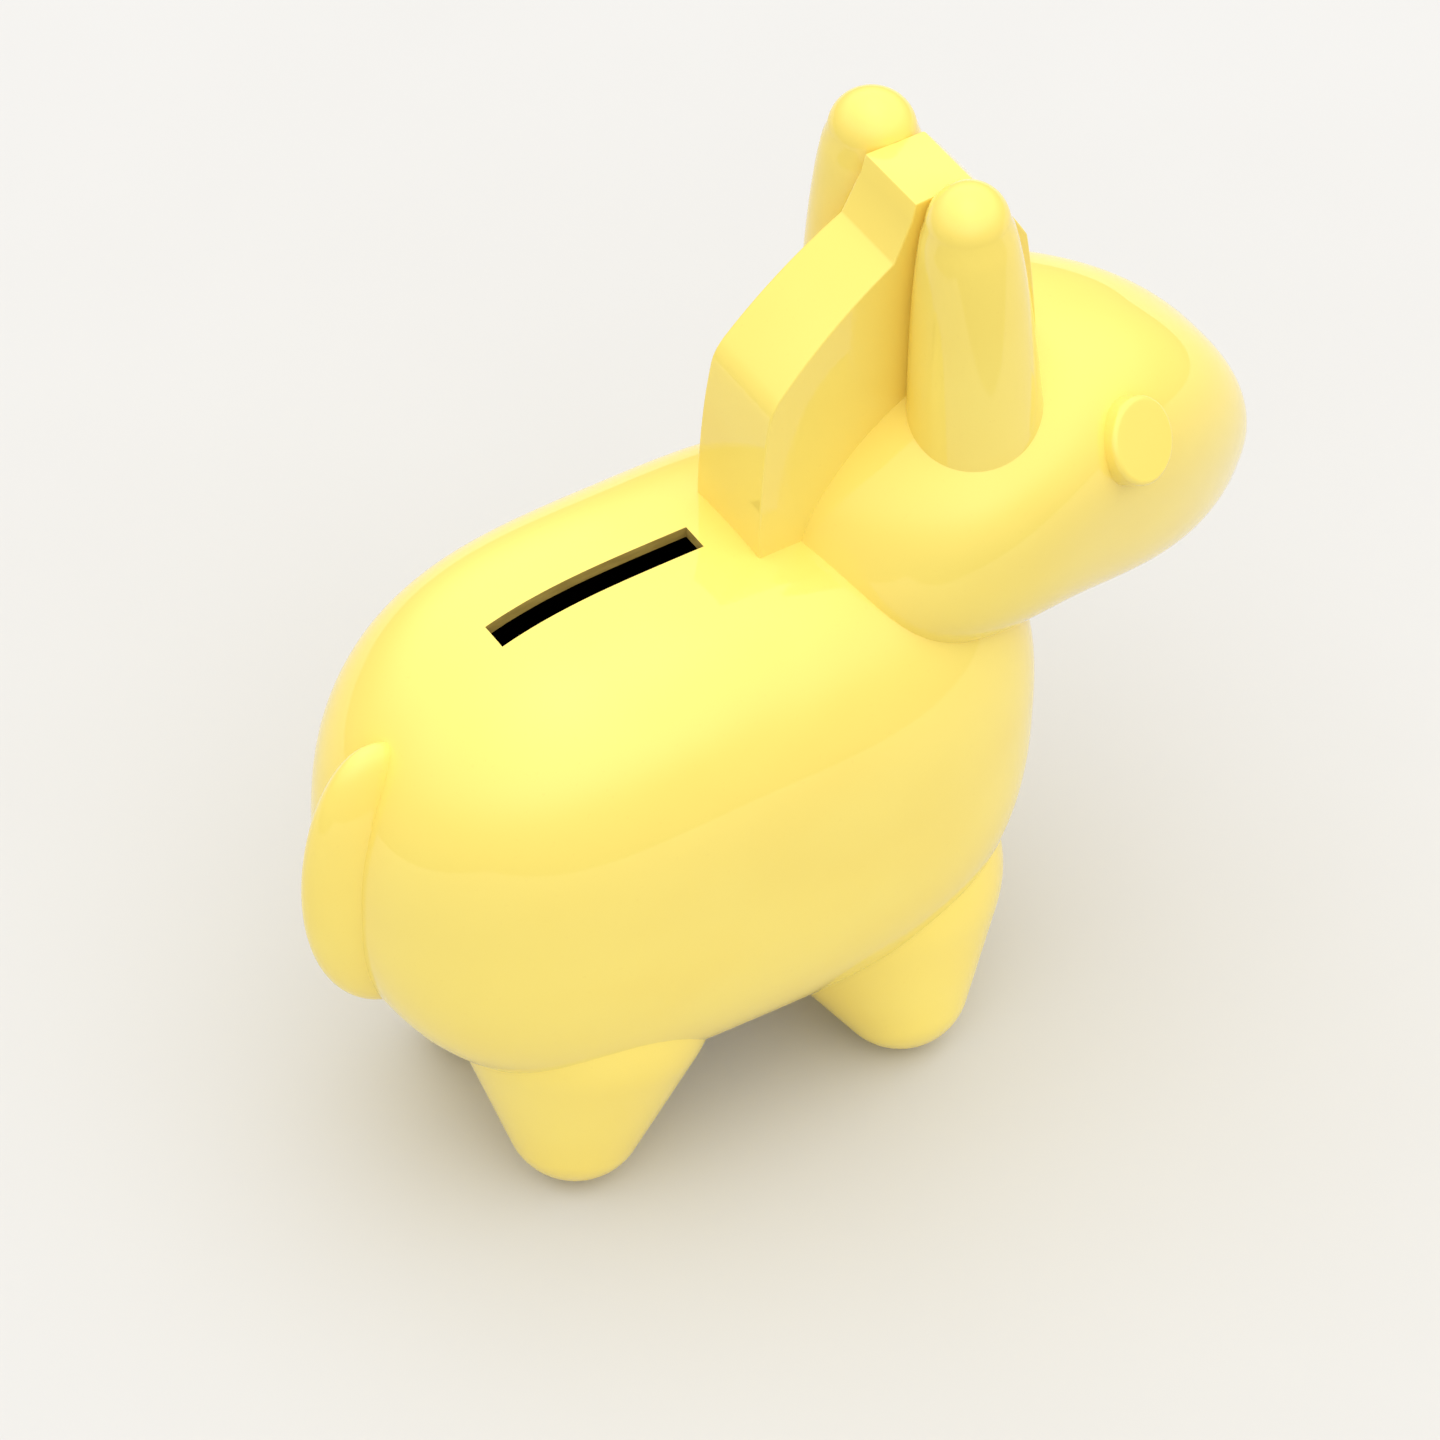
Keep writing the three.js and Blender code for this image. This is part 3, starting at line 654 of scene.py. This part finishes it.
def make_ear(side_name):
    tip = Vector(mirrored(EAR["tip"], side_name))
    low = Vector(mirrored(EAR["low"], side_name))
    direction = (tip - low).normalized()
    root = low - direction * EAR["root"]
    spread = (EAR["low_radius"] - EAR["tip_radius"]) * EAR["root"] / (tip - low).length
    ear = tapered_bar("ear", root, EAR["low_radius"] + spread, tip, EAR["tip_radius"], bulge=EAR["bulge"])
    turn = math.radians(EAR["long_way"])
    long_way = Vector(mirrored((math.cos(turn), -math.sin(turn), 0), side_name))
    stretch(ear, tip, long_way, EAR["long_scale"])
    stretch(ear, tip, long_way.cross(UP), EAR["short_scale"])
    cut(ear, head_room(), mane_volume(-SINK))
    finish_piece(ear, f"ear_{side_name}")


def make_eye(side_name):
    direction = Vector(mirrored(EYE["facing"], side_name)).normalized()
    surface = Vector(EYE["behind"]) + direction * distance_out(HEAD, EYE["behind"], direction, 60)
    radius, top, edge = EYE["radius"], EYE["thickness"], EYE["edge"]
    rim = list(arc((radius - edge, top - edge), edge, 0, 90, 10))
    back = -EYE["sunk"]
    eye = turned("eye", [(0, back), (radius, back), *rim, (0, top)], surface, direction)
    cut(eye, head_room())
    join(eye, rod(EYE["stem"], -WALL - EYE["stem_past_wall"], 0, surface, direction, 32))
    finish_piece(eye, f"eye_{side_name}")


def make_tail():
    """An ellipsoid that is slimmer at its top and leans back, cut away by the body."""
    tilt = -math.radians(TAIL["tilt"])

    def point(height, angle):
        ring = math.sqrt(max(0.0, 1 - height * height)) * (1 - TAIL["taper"] * height)
        x = TAIL["depth"] * ring * math.cos(angle)
        y = TAIL["half_width"] * ring * math.sin(angle)
        z = TAIL["half_height"] * height
        return (
            TAIL["x"] + x * math.cos(tilt) + z * math.sin(tilt),
            y,
            TAIL["z"] - x * math.sin(tilt) + z * math.cos(tilt),
        )

    tail = rounded("tail", point, TAIL["rows"], TAIL["columns"])
    cut(tail, body_room())
    finish_piece(tail, "tail")


def make_leg(kind, side_name):
    """A tapered leg, flat under its foot, cut away by the body, its twin, the arch and the stopper."""
    side = SIDES[side_name]
    leg = LEGS[kind]
    foot, root = mirrored(leg["foot"], side_name), mirrored(leg["root"], side_name)
    solid = tapered_bar(kind, foot, leg["foot_radius"], root, leg["root_radius"])
    x, y, below, above = (CUTTER[key] for key in ("x", "y", "below", "above"))
    twin_low, twin_high = sorted((-side * y, side * GAP / 2))
    arch_start = (ARCH["x"] - ARCH["half_length"], 0, ARCH["z"])
    cut(
        solid,
        body_room(),
        block((-x, -y, below), (x, y, 0)),
        block((-x, twin_low, below), (x, twin_high, above)),
        rod(ARCH["radius"], 0, 2 * ARCH["half_length"], arch_start, (1, 0, 0)),
        rod(STOPPER["flange"] + 2 * GAP, 0, STOPPER["leg_room"], (STOPPER["x"], 0, 0), UP),
    )
    finish_piece(solid, f"{kind}_{side_name}")


def pull_tab(x, bottom):
    """A bevelled bar with upright ribs on both faces, under the stopper's bottom."""
    tab, ribs = STOPPER_TAB, STOPPER_RIBS
    bar = bevelled(block(
        (x - tab["half_length"], -tab["half_thickness"], bottom - tab["drop"]),
        (x + tab["half_length"], tab["half_thickness"], bottom + tab["root"]),
    ), tab["edge"], segments=4)
    for step in range(-ribs["each_way"], ribs["each_way"] + 1):
        middle = x + ribs["spacing"] * step
        join(bar, bevelled(block(
            (middle - ribs["half_width"], -ribs["half_thickness"], bottom + ribs["low"]),
            (middle + ribs["half_width"], ribs["half_thickness"], bottom + ribs["high"]),
        ), ribs["edge"]))
    return bar


def make_stopper():
    """A rubber plug with a grooved wall, a stepped flange and a ribbed pull tab."""
    x, hole, flange, bottom, seat, top, floor = (
        STOPPER[key] for key in ("x", "hole", "flange", "bottom", "seat", "top", "floor"))
    plug = hole - GAP
    profile = [(0, bottom)]
    rings = STOPPER_RINGS
    for start in rings["starts"]:
        raised = bottom + rings["rise"]
        profile += [(start, bottom), (start + rings["top_from"], raised)]
        profile += [(start + rings["top_to"], raised), (start + rings["width"], bottom)]
    profile += arc((flange - 0.8, bottom + 0.8), 0.8, -90, 0, 8)
    profile += arc((flange - 0.3, seat - GAP - 0.3), 0.3, 0, 90, 5)
    profile += [(plug + 0.3, seat - GAP), (plug, seat - GAP + 0.3), (plug, seat + 1.3)]
    profile += arc((plug, seat + 2.3), 0.75, 255, 105, 12)
    profile += [(plug, seat + 3.3), (plug, top - 1.1)]
    profile += arc((plug - 1, top - 1), 1, 0, 90, 8)
    profile += arc((plug - 2.6, top - 0.4), 0.4, 90, 180, 4)
    profile += arc((plug - 3 - 1.2, bottom + floor + 1.2), 1.2, 0, -90, 8)
    profile += [(0, bottom + floor)]
    stopper = turned("stopper", profile, (x, 0, 0), UP)
    join(stopper, pull_tab(x, bottom))
    finish_piece(stopper, "belly_stopper", "stopper_rubber", "stopper", angle=40)


# ---------------------------------------------------------------- assembly

make_body()
make_head()
make_mane()
make_tail()
make_stopper()
for side_name in SIDES:
    make_ear(side_name)
    make_eye(side_name)
    for kind in LEGS:
        make_leg(kind, side_name)


def dress_cad_nodes():
    """Gives each CAD piece that stays in view the procedural finish of its record slot."""
    for subpart in frame["record"]["subparts"]:
        node = frame["nodes"][subpart["node"]]
        if node.hide_render:
            continue
        node.data.materials.clear()
        node.data.materials.append(FINISHES[subpart["material_slot"]])


dress_cad_nodes()

# ---------------------------------------------------------------- floor, light and camera


def view_direction(azimuth, elevation):
    """The direction towards a camera or a light that stands at this azimuth and elevation."""
    return Vector((
        math.sin(azimuth) * math.cos(elevation),
        -math.cos(azimuth) * math.cos(elevation),
        math.sin(elevation),
    ))


FLOOR = dict(rear=-290, front=900, right=-225, left=900)


def make_floor():
    floor = new_object("floor", [
        (FLOOR["rear"], FLOOR["right"], 0), (FLOOR["front"], FLOOR["right"], 0),
        (FLOOR["front"], FLOOR["left"], 0), (FLOOR["rear"], FLOOR["left"], 0),
    ], [(0, 1, 2, 3)])
    floor.data.materials.append(pale_floor())


# The studio's light: a dome that is dim up to z = dim_to and level from z = level_from upwards,
# where z is the sine of the elevation, with soft patches of light in it.
DOME = dict(horizon=0.30, dim_to=0.06, level=1.05, level_from=0.55)
LIGHTS = {
    "overhead": dict(strength=0.9, power=8, azimuth=0, elevation=90),
    "front": dict(strength=0.35, power=4, azimuth=55, elevation=28),
    "behind_the_tail": dict(strength=0.14, power=4, azimuth=238, elevation=30),
    "rear": dict(strength=0.30, power=4, azimuth=165, elevation=40),
    "fill": dict(strength=0.66, power=5, azimuth=-20, elevation=42),
}


def make_sky():
    nodes = Nodes(new_world("studio"))
    direction = nodes.add("ShaderNodeTexCoord").outputs["Generated"]
    split = nodes.add("ShaderNodeSeparateXYZ")
    nodes.link(direction, split.inputs[0])
    strength = nodes.ramp(
        split.outputs["Z"], DOME["dim_to"], DOME["level_from"], DOME["horizon"], DOME["level"])
    for light in LIGHTS.values():
        facing = nodes.add("ShaderNodeVectorMath", operation="DOT_PRODUCT")
        facing.inputs[1].default_value = view_direction(
            math.radians(light["azimuth"]), math.radians(light["elevation"]))
        nodes.link(direction, facing.inputs[0])
        patch = nodes.math("POWER", nodes.math("MAXIMUM", facing.outputs["Value"], 0.0), light["power"])
        strength = nodes.math("ADD", strength, nodes.math("MULTIPLY", patch, light["strength"]))
    background = nodes.tree.nodes["Background"]
    background.inputs["Color"].default_value = (1, 1, 1, 1)
    nodes.link(strength, background.inputs["Strength"])


CAMERA = dict(azimuth=-32.255, elevation=44.894, distance=1045.345, target=(9.305, 0, 58.6), lens=183.92)
SENSOR_WIDTH = 36


def make_camera():
    back = view_direction(math.radians(CAMERA["azimuth"]), math.radians(CAMERA["elevation"]))
    data = bpy.data.cameras.new("camera")
    data.sensor_width = SENSOR_WIDTH
    data.lens = CAMERA["lens"]
    data.clip_start, data.clip_end = 0.01, 20
    camera = bpy.data.objects.new("camera", data)
    camera.location = placed(Vector(CAMERA["target"]) + back * CAMERA["distance"])
    camera.rotation_mode = "QUATERNION"
    camera.rotation_quaternion = back.to_track_quat("Z", "Y")
    bpy.context.scene.collection.objects.link(camera)
    bpy.context.scene.camera = camera


make_floor()
make_sky()
make_camera()
bpy.context.scene.view_settings.view_transform = "Standard"
